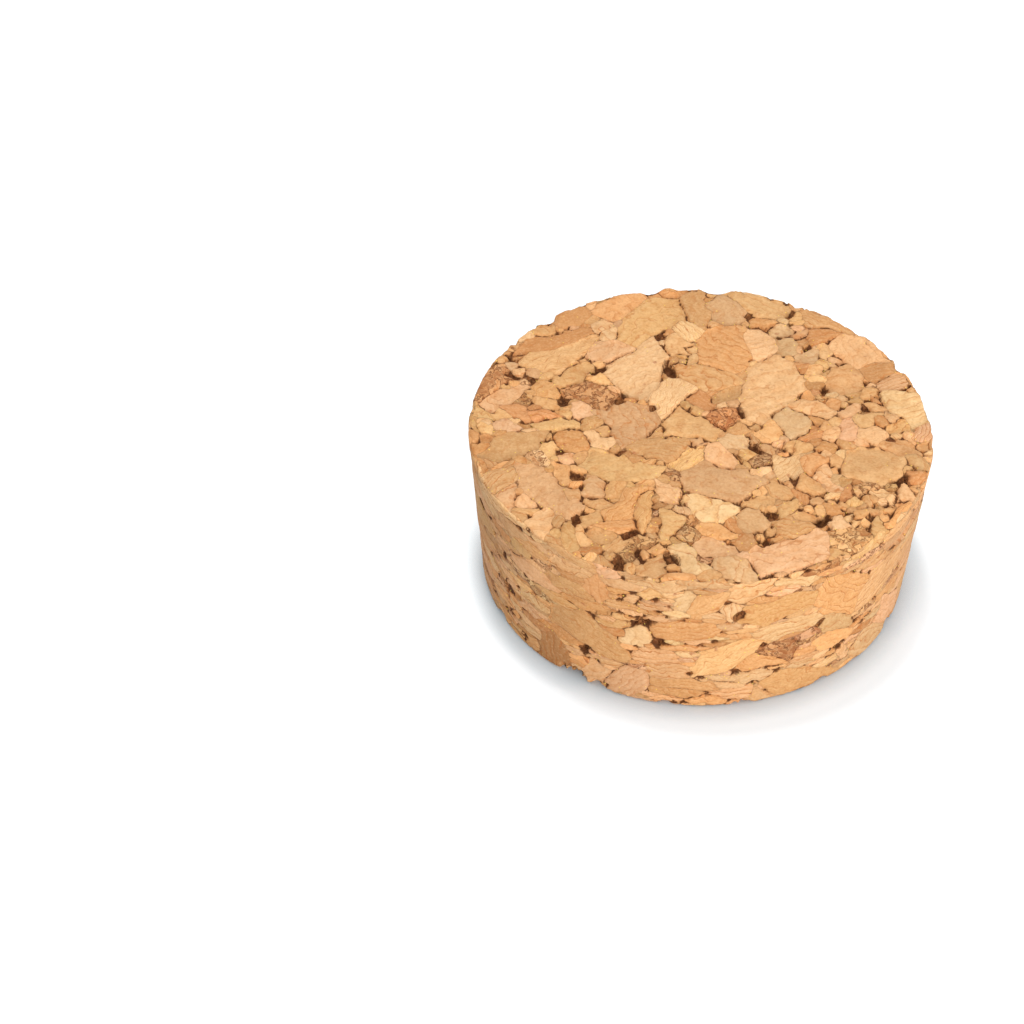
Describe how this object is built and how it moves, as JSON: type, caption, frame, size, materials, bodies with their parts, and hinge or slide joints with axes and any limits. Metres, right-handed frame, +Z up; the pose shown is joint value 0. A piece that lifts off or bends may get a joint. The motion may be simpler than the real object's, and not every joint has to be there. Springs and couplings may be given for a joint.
{
  "type": "cork stopper",
  "caption": "Squat tapered stopper of pressed cork granules, a thick disc whose wide round face is on top and whose narrow face is the base.",
  "frame": {"origin": "centre of the flat narrow base, the face it stands on", "axes": "+Z up the stopper's axis, from the narrow base to the wide face; X and Y are free, because the stopper is round"},
  "size_m": [0.06, 0.06, 0.0232],
  "materials": {
    "cork": "matte"
  },
  "bodies": {
    "root": {"stopper": "cork"}
  },
  "joints": []
}
